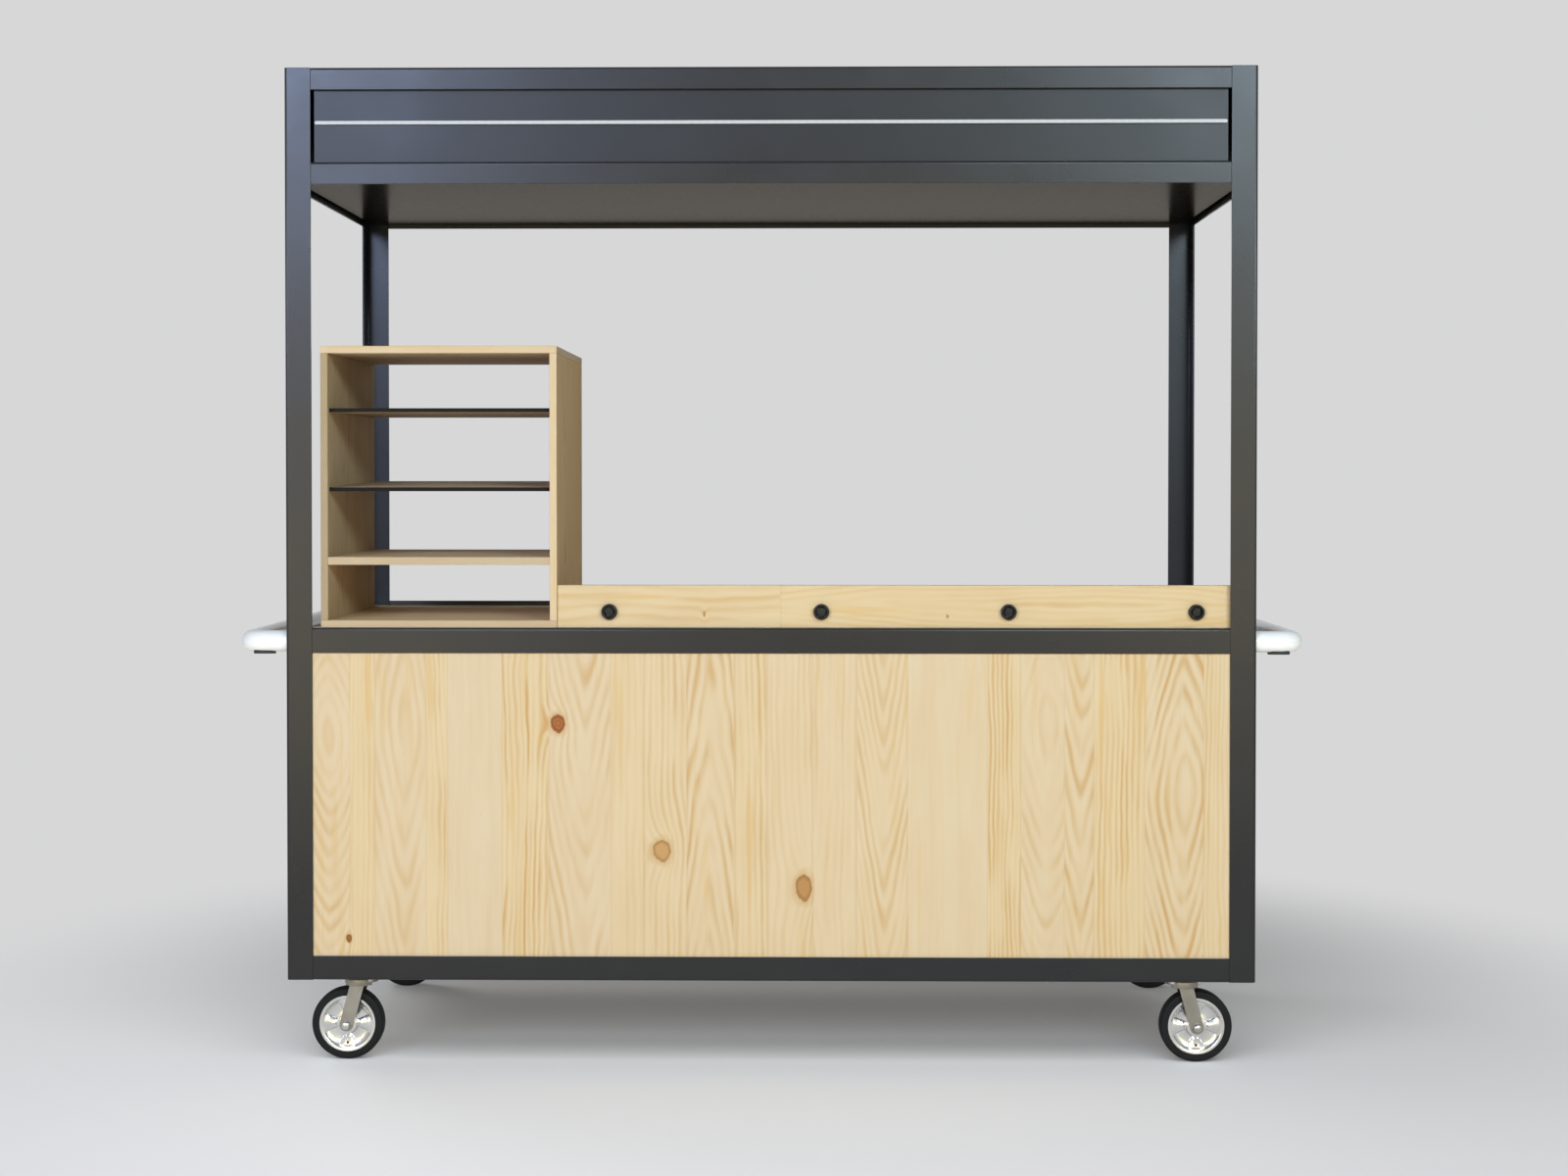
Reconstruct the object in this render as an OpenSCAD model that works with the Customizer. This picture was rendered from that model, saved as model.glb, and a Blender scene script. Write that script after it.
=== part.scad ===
// Mobile coffee cart: a steel angle frame on four swivel castors, with a lit canopy, pine panels, a pine
// worktop, an upstand, a set of shelves and a push handle at each end. Millimetres.
// The origin is on the floor under the middle of the frame, the front faces -Y and +Z is up.

/* [Frame] */
// Width over the corner posts
frame_w = 2000; // [1700:10:2600]
// Depth over the corner posts
frame_d = 850; // [700:10:1100]
// Height of the top of the cart above the floor
frame_h = 2065; // [1950:5:2300]
// Height of the worktop above the floor
counter_z = 911; // [800:1:1000]
// Thickness of the folded steel angles
angle_t = 4; // [3:0.5:5]
// Outer radius of the fold of the angles
angle_bend = 5.5; // [5.5:0.5:10]
// Width of each leg of the corner posts
post_leg = 54; // [46:1:70]
// Width of the level leg of every rail
rail_shelf = 40; // [30:1:50]
// Height of the counter rails
counter_rail_h = 52; // [40:1:70]
// How far the back counter rail stands up above the worktop
counter_lip = 10; // [4:1:20]
// Height of the base rails
base_rail_h = 50; // [40:1:70]

/* [Canopy] */
// Height of the canopy, from its lower edge to the top of the cart
canopy_h = 240; // [200:1:300]
// Height of the canopy's upper and lower rails
canopy_rail_h = 46; // [35:1:60]
// Thickness of the canopy's fascia sheets
fascia_t = 2; // [1.5:0.5:5]
// Distance of the fascias behind the outer faces of the frame
fascia_inset = 10; // [9:0.5:20]
// Gap between each end of the front and back fascias and the post beside it
fascia_end_gap = 6; // [2:1:12]
// Thickness of the roof sheet
roof_t = 2; // [1.5:0.5:5]
// Thickness of the soffit pan under the canopy
soffit_t = 2; // [1.5:0.5:5]
// Height of the soffit pan above the canopy's lower edge
soffit_recess = 9; // [8:1:30]
// Shadow gap between the soffit pan and the rails round it
soffit_gap = 14; // [8:1:24]
// Height of the light line above the canopy's lower edge, to its middle
led_above = 127; // [90:1:160]
// Height of the light line
led_h = 7; // [6:1:20]
// Thickness of the aluminium strip behind the light line
led_base_t = 2; // [1:0.5:3]
// Thickness of the light line's diffuser
led_cover_t = 4; // [2:0.5:6]
// Distance between the end of the light line and the end of the fascia
led_end_gap = 2; // [1:1:30]

/* [Boards] */
// Thickness of the worktop
worktop_t = 22; // [18:1:30]
// Thickness of the base board
base_board_t = 18; // [12:1:25]
// Thickness of the pine wall panels
panel_t = 18; // [12:1:25]
// Gap that keeps the boards' edges clear of the folds of the angles
board_gap = 4; // [4:0.5:8]
// Thickness of the upstand board
upstand_t = 18; // [12:1:25]
// Height of the upstand board above the worktop
upstand_h = 88; // [60:1:150]
// Distance of the upstand behind the outer face of the frame
upstand_inset = 12; // [12:1:60]
// Diameter of the upstand's knobs
knob_d = 33; // [20:1:44]
// How far the knobs stand proud of the upstand
knob_proud = 11; // [6:1:12]
// Height of the knobs' centres above the worktop
knob_z = 33; // [24:1:36]
// Distance of the first knob from the upstand's left end
knob_first = 108; // [40:1:160]
// Distance of the last knob from the upstand's right end
knob_last = 118; // [60:1:160]
// Distance between the last three knobs
knob_pitch = 386; // [200:1:420]

/* [Shelves] */
// Width of the shelf unit
cubby_w = 489; // [350:1:600]
// Height of the shelf unit
cubby_h = 582; // [520:1:700]
// Depth of the shelf unit
cubby_d = 495; // [300:1:560]
// Thickness of the shelf unit's outer boards
cubby_t = 15; // [12:1:20]
// Distance from the frame's left side to the shelf unit
cubby_left = 71; // [60:1:120]
// Distance of the shelf unit behind the outer face of the frame
cubby_inset = 7; // [5:1:40]
// Thickness of the lower shelf
lower_shelf_t = 16; // [12:1:20]
// Height of the top of the lower shelf above the worktop
lower_shelf_top = 146; // [100:1:180]
// Thickness of the middle and upper shelves
thin_shelf_t = 8; // [6:1:12]
// Height of the top of the middle shelf above the worktop, at its front edge
middle_shelf_top = 290; // [240:1:330]
// How far the middle shelf rises towards its back
middle_shelf_rise = 12; // [2:1:20]
// Height of the top of the upper shelf above the worktop
upper_shelf_top = 454; // [400:1:480]
// How far the middle and upper shelves are set back from the unit's front and back
thin_shelf_setback = 18; // [5:1:40]
// Thickness of the black edging on the middle and upper shelves
edging_t = 2; // [1:0.5:3]

/* [Handles] */
// Outer diameter of the handle tube
handle_d = 44; // [30:1:45]
// Wall thickness of the handle tube
handle_wall = 2; // [1.5:0.5:4]
// Depth of the handle's centreline below the worktop
handle_below = 29; // [24:1:34]
// Distance of the handle's long grip from the posts, to its centreline
handle_reach = 82; // [75:1:110]
// Centreline radius of the handle's bends
handle_bend = 27; // [26:1:60]
// Distance of each handle arm's centreline from the outer face of the frame
handle_inset = 31; // [30:1:32]
// Length of the rubber pad under each handle arm
pad_l = 46; // [30:1:50]
// Width of the pads
pad_w = 22; // [18:1:28]
// How far the pads stand below the tube
pad_drop = 4; // [3:1:20]
// Distance of the pads' centres from the posts
pad_reach = 51; // [40:1:55]

/* [Castors] */
// Diameter of the castor wheels
wheel_d = 150; // [125:5:175]
// Width of the tyre
tyre_w = 34; // [28:1:38]
// Thickness of the tyre
tyre_t = 16; // [12:1:24]
// Rounding of the tyre's shoulders
tyre_round = 6; // [3:1:8]
// Distance of the wheel's axle behind the swivel axis
castor_trail = 26; // [20:1:40]
// Distance of the swivel axes from the frame's left and right sides
castor_inset_x = 137; // [110:1:200]
// Distance of the swivel axes from the frame's front and back
castor_inset_y = 82; // [70:1:140]
// Width of the castor's top plate, across the cart
plate_w = 78; // [70:1:100]
// Depth of the castor's top plate, front to back
plate_l = 100; // [80:1:120]
// Thickness of the castor's top plate
plate_t = 5; // [3:0.5:8]
// Diameter of the swivel bearing's race
race_d = 56; // [44:1:64]
// Height of the upper race
race_h = 4.6; // [3:0.2:8]
// Gap between the upper race and the fork
swivel_gap = 0.4; // [0.3:0.1:1]
// Diameter of the fork's crown
crown_d = 74; // [64:1:80]
// Thickness of the fork's crown
crown_t = 8; // [6:0.5:12]
// How far the crown's turned-down sides reach below it
crown_lip = 5; // [2:0.5:6]
// Height of the crown above the wheel
crown_clear = 13; // [12:1:25]
// Width of the fork's legs
leg_w = 29; // [26:1:40]
// Thickness of the fork's legs
leg_t = 4; // [3:0.5:6]
// Gap between the wheel's hub and each leg
hub_gap = 2; // [1:0.5:4]
// Width of the wheel's hub
hub_w = 44; // [42:1:56]
// Diameter of the wheel's hub
hub_d = 38; // [28:1:44]
// Diameter of the axle bolt
axle_d = 12; // [8:1:16]
// Diameter of the swivel pin
kingpin_d = 12; // [10:1:16]
// Radial clearance of the axle and the swivel pin in their bores
pin_clear = 0.05; // [0.02:0.01:0.1]

/* [Hidden] */
$fn = 64;
// Thickness of the lip of the rim beside the tyre, and how far the rim lies inside the tyre's faces
rim_lip = 6;
rim_inset = 0.5;
// How far the dish of the rim lies inside the tyre's faces, beside the lip and beside the hub
dish_outer = 4;
dish_inner = 7;
// Heads of the axle bolt, and the nut under the swivel pin
axle_head_d = 21;
axle_head_t = 6;
nut_d = 22;
nut_h = 6.6;
// Width of the chamfer between the dish of the rim and its lip
rim_chamfer = 1;
// Width of the ring round each knob's dish, and the depth of the dish
knob_ring = 3;
knob_dish = 2;
// How far the pads reach up round the sides of the tube
pad_rise = 11;
// Small extra length that takes a cut right through
cut = 1;

// Frame
half_w = frame_w / 2;
half_d = frame_d / 2;
base_z = wheel_d + crown_clear + crown_t + swivel_gap + race_h + plate_t;
rail_x = half_w - post_leg;
rail_y = half_d - post_leg;
// Inner faces of the upright legs
inner_x = half_w - angle_t;
inner_y = half_d - angle_t;

// Canopy
canopy_z = frame_h - canopy_h;
canopy_floor_z = canopy_z + canopy_rail_h;
roof_z = frame_h - angle_t - roof_t;
fascia_x = half_w - fascia_inset - fascia_t;
fascia_y = half_d - fascia_inset - fascia_t;
fascia_half_w = rail_x - fascia_end_gap;
// The end fascias run on behind the posts, which closes the corners of the canopy
fascia_half_d = inner_y - board_gap;
led_half = fascia_half_w - led_end_gap;

// Boards
board_x = inner_x - board_gap;
board_y = inner_y - board_gap;
panel_z = base_z + base_board_t;
panel_h = counter_z - worktop_t - panel_z;
upstand_left = cubby_left + cubby_w - half_w;
upstand_y = upstand_inset - half_d;
knob_places = concat(
    [upstand_left + knob_first],
    [for (step = [2, 1, 0]) inner_x - knob_last - step * knob_pitch]
);

// Shelf unit
cubby_x = cubby_left - half_w;
cubby_y = cubby_inset - half_d;
thin_shelf_d = cubby_d - 2 * thin_shelf_setback;
middle_shelf_tilt = asin(middle_shelf_rise / thin_shelf_d);

// Handles
handle_z = counter_z - handle_below;
handle_y = half_d - handle_inset;

// Castors
wheel_r = wheel_d / 2;
rim_r = wheel_r - tyre_t;
castor_x = half_w - castor_inset_x;
castor_y = half_d - castor_inset_y;
crown_z = wheel_d + crown_clear;
crown_top = crown_z + crown_t;
leg_in = hub_w / 2 + hub_gap;
leg_out = leg_in + leg_t;
leg_lean = atan2(castor_trail, crown_top - wheel_r);
// Front and back, left and right: name, side along X, side along Y
CORNERS = [
    ["front_left", -1, -1],
    ["front_right", 1, -1],
    ["back_left", -1, 1],
    ["back_right", 1, 1],
];

// ---- Shared shapes ----

// Repeats a shape on the opposite side of the cart
module and_mirrored(axis) {
    children();
    mirror(axis) children();
}

// Takes a shape drawn for the front left corner to the corner on the given sides
module at_corner(side_x, side_y) {
    if (side_x > 0 && side_y > 0) mirror([1, 0, 0]) mirror([0, 1, 0]) children();
    else if (side_x > 0) mirror([1, 0, 0]) children();
    else if (side_y > 0) mirror([0, 1, 0]) children();
    else children();
}

// Box centred on the Z axis, from z up
module slab(size_x, size_y, z, height) {
    translate([-size_x / 2, -size_y / 2, z]) cube([size_x, size_y, height]);
}

// Rectangle whose corner at the origin is rounded
module one_round_corner(size_x, size_y, radius) {
    translate([radius, 0]) square([size_x - radius, size_y]);
    translate([0, radius]) square([size_x, size_y - radius]);
    translate([radius, radius]) circle(r = radius);
}

// Section of a folded angle: its outer corner is at the origin and its legs run along +X and +Y
module angle_section(leg_x, leg_y) {
    difference() {
        one_round_corner(leg_x, leg_y, angle_bend);
        translate([angle_t, angle_t]) one_round_corner(leg_x, leg_y, angle_bend - angle_t);
    }
}

// Front rail with its level leg at z = 0 and its upright leg above it
module front_rail(height) {
    translate([-rail_x, -half_d, 0])
        rotate([90, 0, 90])
            linear_extrude(2 * rail_x)
                angle_section(rail_shelf, height);
}

// Left rail, as the front rail
module left_rail(height) {
    translate([-half_w, rail_y, 0])
        rotate([90, 0, 0])
            linear_extrude(2 * rail_y)
                angle_section(rail_shelf, height);
}

// The four rails of one level, with their level legs at the bottom
module rail_ring(height) {
    and_mirrored([0, 1, 0]) front_rail(height);
    and_mirrored([1, 0, 0]) left_rail(height);
}

// The four rails of one level, with their level legs on top at top_z
module rail_ring_under(top_z, height) {
    translate([0, 0, top_z]) mirror([0, 0, 1]) rail_ring(height);
}

// ---- Frame ----

module post(side_x, side_y) {
    color([0.13, 0.13, 0.14])
        at_corner(side_x, side_y)
            translate([-half_w, -half_d, base_z])
                linear_extrude(frame_h - base_z)
                    angle_section(post_leg, post_leg);
}

module canopy_top_rails() {
    color([0.13, 0.13, 0.14]) rail_ring_under(frame_h, canopy_rail_h);
}

module canopy_lower_rails() {
    color([0.13, 0.13, 0.14]) rail_ring_under(canopy_floor_z, canopy_rail_h);
}

// The back rail's upright leg runs on up past the worktop as a lip
module counter_rails() {
    color([0.13, 0.13, 0.14]) {
        rail_ring_under(counter_z, counter_rail_h);
        translate([-rail_x, inner_y, counter_z - counter_rail_h])
            cube([2 * rail_x, angle_t, counter_rail_h + counter_lip]);
    }
}

module base_rails() {
    color([0.13, 0.13, 0.14]) translate([0, 0, base_z]) rail_ring(base_rail_h);
}

// Plates that close the ends of the posts, clear of the fold of each post
module corner_plates() {
    plate = post_leg - angle_bend;
    color([0.13, 0.13, 0.14])
        for (corner = CORNERS, z = [base_z, frame_h - angle_t])
            at_corner(corner[1], corner[2])
                translate([angle_bend - half_w, angle_bend - half_d, z])
                    cube([plate, plate, angle_t]);
}

// ---- Canopy ----

module front_fascia() {
    translate([-fascia_half_w, -fascia_y - fascia_t, canopy_floor_z])
        cube([2 * fascia_half_w, fascia_t, frame_h - angle_t - canopy_floor_z]);
}

module fascia_front() {
    color([0.16, 0.16, 0.17]) front_fascia();
}

module fascia_back() {
    color([0.16, 0.16, 0.17]) mirror([0, 1, 0]) front_fascia();
}

module fascia_sides() {
    color([0.16, 0.16, 0.17])
        and_mirrored([1, 0, 0])
            translate([-fascia_x - fascia_t, -fascia_half_d, canopy_floor_z])
                cube([fascia_t, 2 * fascia_half_d, frame_h - angle_t - canopy_floor_z]);
}

// Strip with round ends on the front fascia, from its back face at y towards -Y
module led_strip(y, thickness) {
    translate([0, y, canopy_z + led_above])
        rotate([90, 0, 0])
            linear_extrude(thickness) {
                square([2 * led_half - led_h, led_h], center = true);
                for (side = [-1, 1])
                    translate([side * (led_half - led_h / 2), 0]) circle(d = led_h);
            }
}

module led_base() {
    color("silver") led_strip(-fascia_y - fascia_t, led_base_t);
}

module led_diffuser() {
    color("white") led_strip(-fascia_y - fascia_t - led_base_t, led_cover_t);
}

module roof_panel() {
    color([0.16, 0.16, 0.17]) slab(2 * fascia_x, 2 * fascia_y, roof_z, roof_t);
}

// Shallow pan whose upturned edges meet the level legs of the lower rails
module soffit_panel() {
    pan_w = 2 * (inner_x - soffit_gap);
    pan_d = 2 * (inner_y - soffit_gap);
    pan_z = canopy_z + soffit_recess;
    color([0.3, 0.28, 0.25])
        difference() {
            slab(pan_w, pan_d, pan_z, canopy_floor_z - angle_t - pan_z);
            slab(pan_w - 2 * soffit_t, pan_d - 2 * soffit_t, pan_z + soffit_t, canopy_rail_h);
        }
}

// ---- Walls, worktop and base ----

module front_panel() {
    translate([-board_x, -inner_y, panel_z]) cube([2 * board_x, panel_t, panel_h]);
}

module panel_front() {
    color("burlywood") front_panel();
}

module panel_back() {
    color("burlywood") mirror([0, 1, 0]) front_panel();
}

// End walls, between the front and back walls
module panel_sides() {
    side_half = inner_y - panel_t;
    color("burlywood")
        and_mirrored([1, 0, 0])
            translate([-inner_x, -side_half, panel_z]) cube([panel_t, 2 * side_half, panel_h]);
}

// The level legs of four rails, as blocks that a board is rebated round
module shelf_blocks(z, height) {
    and_mirrored([0, 1, 0])
        translate([-rail_x, -half_d, z]) cube([2 * rail_x, rail_shelf, height]);
    and_mirrored([1, 0, 0])
        translate([-half_w, -rail_y, z]) cube([rail_shelf, 2 * rail_y, height]);
}

module worktop() {
    color("wheat")
        difference() {
            slab(2 * board_x, 2 * board_y, counter_z - worktop_t, worktop_t);
            shelf_blocks(counter_z - angle_t, angle_t + cut);
        }
}

module base_board() {
    color("wheat")
        difference() {
            slab(2 * board_x, 2 * board_y, base_z, base_board_t);
            shelf_blocks(base_z - cut, angle_t + cut);
            for (place = CORNERS)
                at_corner(place[1], place[2])
                    translate([-half_w, -half_d, base_z - cut]) cube([post_leg, post_leg, angle_t + cut]);
        }
}

module upstand() {
    color("wheat")
        translate([upstand_left, upstand_y, counter_z])
            cube([inner_x - upstand_left, upstand_t, upstand_h]);
}

// Round knobs with a shallow dish in the face
module upstand_knobs() {
    dish_r = knob_d / 2 - knob_ring;
    color([0.08, 0.08, 0.08])
        for (x = knob_places)
            translate([x, upstand_y, counter_z + knob_z])
                rotate([90, 0, 0])
                    difference() {
                        cylinder(d = knob_d, h = knob_proud);
                        translate([0, 0, knob_proud - knob_dish]) cylinder(r = dish_r, h = knob_dish + cut);
                    }
}

// ---- Shelf unit ----

module cubby_sides() {
    color([0.45, 0.4, 0.3])
        for (x = [cubby_x, cubby_x + cubby_w - cubby_t])
            translate([x, cubby_y, counter_z + cubby_t])
                cube([cubby_t, cubby_d, cubby_h - 2 * cubby_t]);
}

module cubby_top() {
    color([0.6, 0.5, 0.35])
        translate([cubby_x, cubby_y, counter_z + cubby_h - cubby_t]) cube([cubby_w, cubby_d, cubby_t]);
}

module cubby_bottom() {
    color([0.6, 0.5, 0.35]) translate([cubby_x, cubby_y, counter_z]) cube([cubby_w, cubby_d, cubby_t]);
}

// Takes a shape drawn below and behind a shelf's front top edge to its place between the unit's sides
module at_shelf(top, setback, tilt) {
    translate([cubby_x + cubby_t, cubby_y + setback, counter_z + top])
        rotate([tilt, 0, 0])
            children();
}

module cubby_shelf(top, thickness, depth, setback, tilt) {
    color([0.6, 0.5, 0.35])
        at_shelf(top, setback, tilt)
            translate([0, 0, -thickness]) cube([cubby_w - 2 * cubby_t, depth, thickness]);
}

module cubby_shelf_lower() {
    cubby_shelf(lower_shelf_top, lower_shelf_t, cubby_d, 0, 0);
}

module cubby_shelf_middle() {
    cubby_shelf(middle_shelf_top, thin_shelf_t, thin_shelf_d, thin_shelf_setback, middle_shelf_tilt);
}

module cubby_shelf_upper() {
    cubby_shelf(upper_shelf_top, thin_shelf_t, thin_shelf_d, thin_shelf_setback, 0);
}

// Black strips along the front edges of the two thin shelves
module cubby_edging() {
    color([0.08, 0.08, 0.08])
        for (shelf = [[middle_shelf_top, middle_shelf_tilt], [upper_shelf_top, 0]])
            at_shelf(shelf[0], thin_shelf_setback, shelf[1])
                translate([0, -edging_t, -thin_shelf_t])
                    cube([cubby_w - 2 * cubby_t, edging_t, thin_shelf_t]);
}

// ---- Handles ----

// Bent bar of the left handle: two arms, two bends and the long grip. The ends run on inwards by extra.
module handle_bar(diameter, extra) {
    arm = handle_reach - handle_bend;
    grip_half = handle_y - handle_bend;
    translate([-half_w, 0, handle_z]) {
        and_mirrored([0, 1, 0]) {
            translate([extra, -handle_y, 0])
                rotate([0, -90, 0])
                    cylinder(d = diameter, h = arm + extra);
            translate([-arm, -grip_half, 0])
                rotate([0, 0, 180])
                    rotate_extrude(angle = 90)
                        translate([handle_bend, 0]) circle(d = diameter);
        }
        translate([-handle_reach, grip_half, 0])
            rotate([90, 0, 0])
                cylinder(d = diameter, h = 2 * grip_half);
    }
}

module handle_tube() {
    color([0.96, 0.96, 0.95])
        difference() {
            handle_bar(handle_d, 0);
            handle_bar(handle_d - 2 * handle_wall, cut);
        }
}

module handle_left() {
    handle_tube();
}

module handle_right() {
    mirror([1, 0, 0]) handle_tube();
}

// Oblong with round ends, centred on the Z axis and long along X, from z up
module oblong(length, width, z, height) {
    straight = length - width;
    slab(straight, width, z, height);
    for (side = [-1, 1])
        translate([side * straight / 2, 0, z]) cylinder(d = width, h = height);
}

// Rubber pads, one under each arm, shaped to the underside of the tube
module handle_pads() {
    color([0.1, 0.1, 0.1])
        and_mirrored([1, 0, 0])
            difference() {
                and_mirrored([0, 1, 0])
                    translate([-half_w - pad_reach, -handle_y, handle_z - handle_d / 2])
                        oblong(pad_l, pad_w, -pad_drop, pad_drop + pad_rise);
                handle_bar(handle_d, 0);
            }
}

// ---- Castors ----

// Takes a shape drawn with its swivel axis on the Z axis and its trail along +X to its corner
module at_castor(side_x, side_y) {
    translate([side_x * castor_x, side_y * castor_y, 0])
        rotate([0, 0, side_x > 0 ? 0 : 180])
            children();
}

// Top plate with the upper race, the swivel pin and its nut
module castor_plate() {
    slab(plate_w, plate_l, base_z - plate_t, plate_t);
    translate([0, 0, base_z - plate_t - race_h]) cylinder(d = race_d, h = race_h + plate_t);
    translate([0, 0, crown_z - swivel_gap - nut_h])
        cylinder(d = kingpin_d, h = base_z - crown_z + nut_h);
    translate([0, 0, crown_z - swivel_gap - nut_h]) cylinder(d = nut_d, h = nut_h, $fn = 6);
}

module castor_plates() {
    color([0.12, 0.12, 0.12])
        for (corner = CORNERS)
            at_castor(corner[1], corner[2]) castor_plate();
}

// Side view of a leg, from the axle up to the top of the crown
module leg_outline() {
    intersection() {
        translate([castor_trail, wheel_r]) {
            circle(d = leg_w);
            rotate(leg_lean) translate([-leg_w / 2, 0]) square([leg_w, wheel_d]);
        }
        translate([-wheel_d, 0]) square([2 * wheel_d, crown_top]);
    }
}

// Round crown, turned down outside the legs and open over the wheel
module crown() {
    difference() {
        translate([0, 0, crown_z - crown_lip]) cylinder(d = crown_d, h = crown_t + crown_lip);
        slab(crown_d + cut, 2 * leg_in, crown_z - crown_lip - cut, crown_lip + cut);
    }
}

module fork(side_x, side_y) {
    color([0.6, 0.6, 0.6])
        at_castor(side_x, side_y) {
            difference() {
                union() {
                    crown();
                    slab(leg_w, 2 * leg_out, crown_z, crown_t);
                    for (y = [leg_out, -leg_in])
                        translate([0, y, 0]) rotate([90, 0, 0]) linear_extrude(leg_t) leg_outline();
                }
                translate([0, 0, crown_z - cut])
                    cylinder(r = kingpin_d / 2 + pin_clear, h = crown_t + 2 * cut);
            }
            translate([castor_trail, 0, wheel_r])
                rotate([90, 0, 0]) {
                    cylinder(d = axle_d, h = 2 * leg_out, center = true);
                    for (end = [leg_out, -leg_out - axle_head_t])
                        translate([0, 0, end]) cylinder(d = axle_head_d, h = axle_head_t, $fn = 6);
                }
        }
}

// Takes a shape turned round the Z axis to the wheel's axle
module at_wheel(side_x, side_y) {
    at_castor(side_x, side_y) translate([castor_trail, 0, wheel_r]) rotate([90, 0, 0]) children();
}

// Section of the rim, from its bore out to the tyre: hub, sloping dish and lip, the same on both faces
module rim_section() {
    face = tyre_w / 2 - rim_inset;
    outline = [
        [axle_d / 2 + pin_clear, hub_w / 2],
        [hub_d / 2, hub_w / 2],
        [hub_d / 2, face - dish_inner],
        [rim_r - rim_lip, face - dish_outer],
        [rim_r - rim_lip + rim_chamfer, face],
        [rim_r, face],
    ];
    polygon(concat(outline, [for (i = [len(outline) - 1:-1:0]) [outline[i][0], -outline[i][1]]]));
}

module rim(side_x, side_y) {
    color([0.8, 0.8, 0.8]) at_wheel(side_x, side_y) rotate_extrude() rim_section();
}

module tyre_section() {
    shoulder = tyre_w / 2 - tyre_round;
    translate([rim_r, -tyre_w / 2]) square([tyre_t - tyre_round, tyre_w]);
    translate([rim_r, -shoulder]) square([tyre_t, 2 * shoulder]);
    for (side = [-1, 1])
        translate([wheel_r - tyre_round, side * shoulder]) circle(r = tyre_round);
}

module tyre(side_x, side_y) {
    color([0.1, 0.1, 0.1]) at_wheel(side_x, side_y) rotate_extrude() tyre_section();
}

// ---- Nodes ----

for (corner = CORNERS) {
    post(corner[1], corner[2]);
    fork(corner[1], corner[2]);
    rim(corner[1], corner[2]);
    tyre(corner[1], corner[2]);
}
canopy_top_rails();
canopy_lower_rails();
counter_rails();
base_rails();
corner_plates();
fascia_front();
fascia_back();
fascia_sides();
led_base();
led_diffuser();
roof_panel();
soffit_panel();
panel_front();
panel_back();
panel_sides();
worktop();
base_board();
upstand();
upstand_knobs();
cubby_sides();
cubby_top();
cubby_bottom();
cubby_shelf_lower();
cubby_shelf_middle();
cubby_shelf_upper();
cubby_edging();
handle_left();
handle_right();
handle_pads();
castor_plates();
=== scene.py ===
"""Mobile coffee cart: finishes, castor details, stage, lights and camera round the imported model. Metres."""

import math

import bpy
from mathutils import Matrix, Vector


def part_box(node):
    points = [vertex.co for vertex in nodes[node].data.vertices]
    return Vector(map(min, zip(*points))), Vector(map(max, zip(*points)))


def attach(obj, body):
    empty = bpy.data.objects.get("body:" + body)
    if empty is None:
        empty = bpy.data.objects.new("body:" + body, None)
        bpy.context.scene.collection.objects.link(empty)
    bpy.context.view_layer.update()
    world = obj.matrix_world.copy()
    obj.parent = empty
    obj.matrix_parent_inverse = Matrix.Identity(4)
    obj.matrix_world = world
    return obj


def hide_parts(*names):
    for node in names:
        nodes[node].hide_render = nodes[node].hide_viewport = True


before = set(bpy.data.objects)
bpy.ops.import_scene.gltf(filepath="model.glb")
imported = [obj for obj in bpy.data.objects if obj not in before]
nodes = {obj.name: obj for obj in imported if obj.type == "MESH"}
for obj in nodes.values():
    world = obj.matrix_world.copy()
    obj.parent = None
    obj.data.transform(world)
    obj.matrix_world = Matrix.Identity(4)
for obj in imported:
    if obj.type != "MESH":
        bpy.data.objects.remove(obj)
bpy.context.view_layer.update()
scene = bpy.context.scene

CORNERS = ("front_left", "front_right", "back_left", "back_right")
POSTS = [f"post_{corner}" for corner in CORNERS]
RAILS = ["canopy_top_rails", "canopy_lower_rails", "counter_rails", "base_rails"]
FORKS = [f"fork_{corner}" for corner in CORNERS]
MM = 0.001


# ---- Camera ----

# The camera stands a little right of the cart's middle, at chest height, and looks slightly left and down.
camera_data = bpy.data.cameras.new("camera")
camera_data.lens = 52.4
camera_data.sensor_width = 36.0
camera_data.shift_x = -0.0034
camera_data.shift_y = -0.0474
camera = bpy.data.objects.new("camera", camera_data)
camera.location = (0.107, -5.120, 1.224)
camera.rotation_euler = (math.radians(90 - 0.939), 0.0, math.radians(0.817))
scene.collection.objects.link(camera)
scene.camera = camera
scene.view_settings.view_transform = "Standard"


# ---- Making materials ----


def linear(colour):
    """sRGB hex, such as "#e0caa2", as linear RGBA."""
    parts = [int(colour[i : i + 2], 16) / 255 for i in (1, 3, 5)]
    return [p / 12.92 if p <= 0.04045 else ((p + 0.055) / 1.055) ** 2.4 for p in parts] + [1.0]


def add(tree, kind, inputs=(), output=0, **settings):
    """Adds a node, sets its properties, and fills or links its inputs, given in order or by name.
    Returns one of its outputs."""
    node = tree.nodes.new("ShaderNode" + kind)
    for setting, value in settings.items():
        setattr(node, setting, value)
    for socket, value in inputs.items() if isinstance(inputs, dict) else enumerate(inputs):
        if isinstance(value, bpy.types.NodeSocket):
            tree.links.new(value, node.inputs[socket])
        else:
            node.inputs[socket].default_value = value
    return node.outputs[output] if node.outputs else None


def start_material(name):
    """New material with an empty tree, and the output with a place in the object's own coordinates."""
    material = bpy.data.materials.new(name)
    material.use_nodes = True
    material.node_tree.nodes.clear()
    return material, material.node_tree, add(material.node_tree, "TexCoord", output="Object")


# ---- Metal, plastic and rubber ----


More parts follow.
